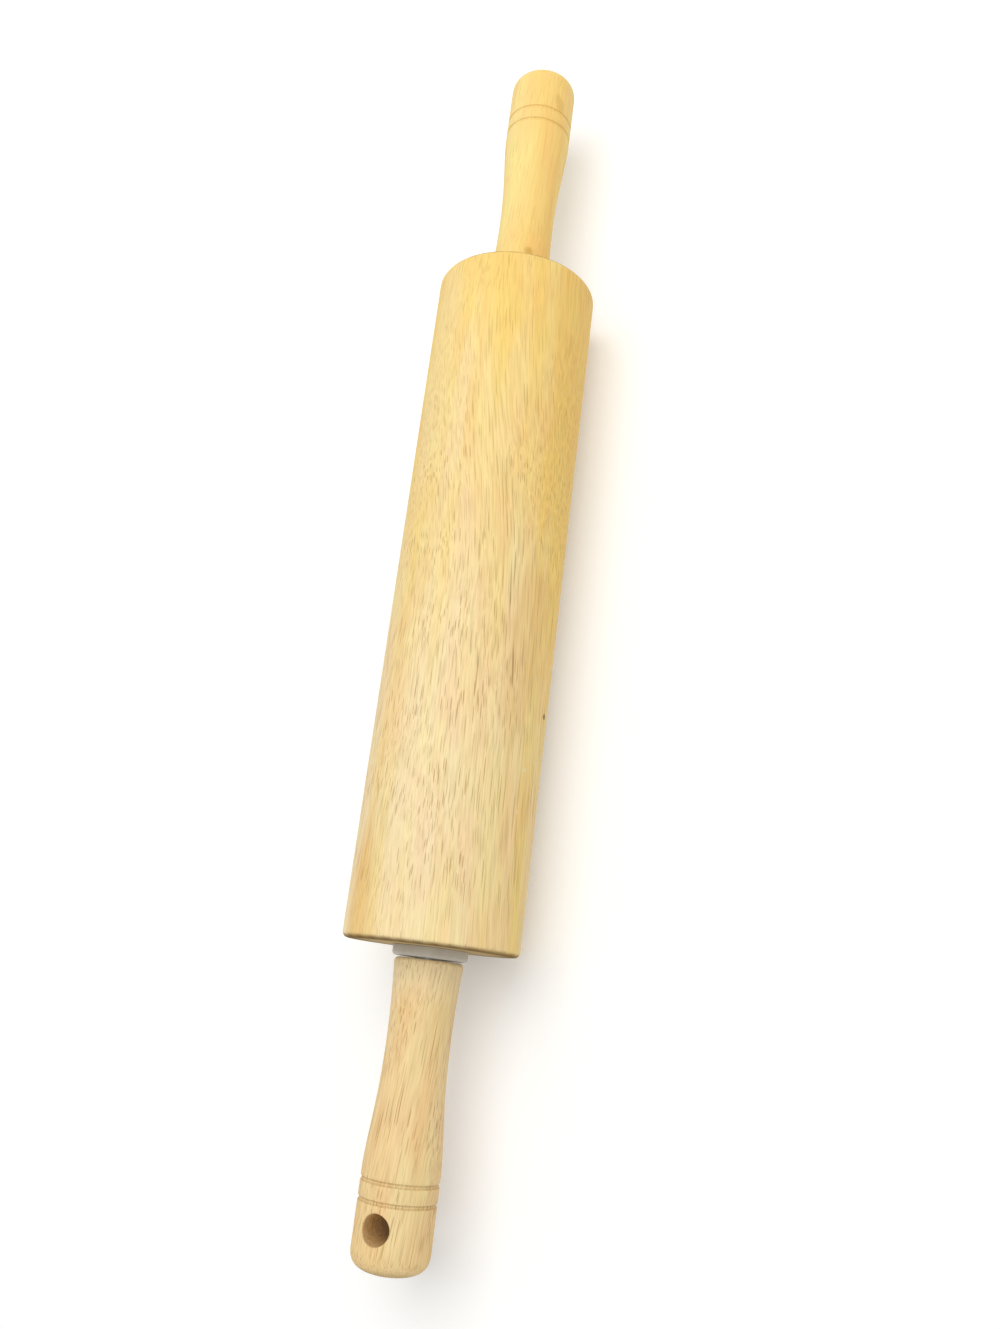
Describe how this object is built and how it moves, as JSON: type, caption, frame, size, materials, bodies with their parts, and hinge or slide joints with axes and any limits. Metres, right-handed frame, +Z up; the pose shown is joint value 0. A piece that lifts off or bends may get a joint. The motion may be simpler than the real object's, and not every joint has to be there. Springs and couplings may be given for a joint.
{
  "type": "rolling pin",
  "caption": "Wooden rolling pin whose roller turns freely on a steel rod in nylon bushes, with turned, grooved handles, one drilled to hang on a hook.",
  "frame": {"origin": "middle of the roller, on its axis", "axes": "+X along the pin from the handle with the hang hole to the plain handle, +Z up, along the hang hole"},
  "size_m": [0.45, 0.06, 0.06],
  "materials": {
    "roller_wood": "sanded rubberwood, thin satin food-safe finish",
    "handle_wood": "turned and sanded rubberwood, thin satin food-safe finish",
    "bush_nylon": "moulded off-white nylon",
    "rod_steel": "bright drawn steel bar"
  },
  "bodies": {
    "handles": {"axle_rod": "rod_steel", "handle_with_hang_hole": "handle_wood", "plain_handle": "handle_wood"},
    "barrel": {"roller": "roller_wood", "bush_hang_end": "bush_nylon", "bush_plain_end": "bush_nylon"}
  },
  "joints": [
    {"name": "roller_spin", "type": "hinge", "parent": "handles", "child": "barrel", "pos_m": [0, 0, 0], "axis": [1, 0, 0], "continuous": true}
  ]
}
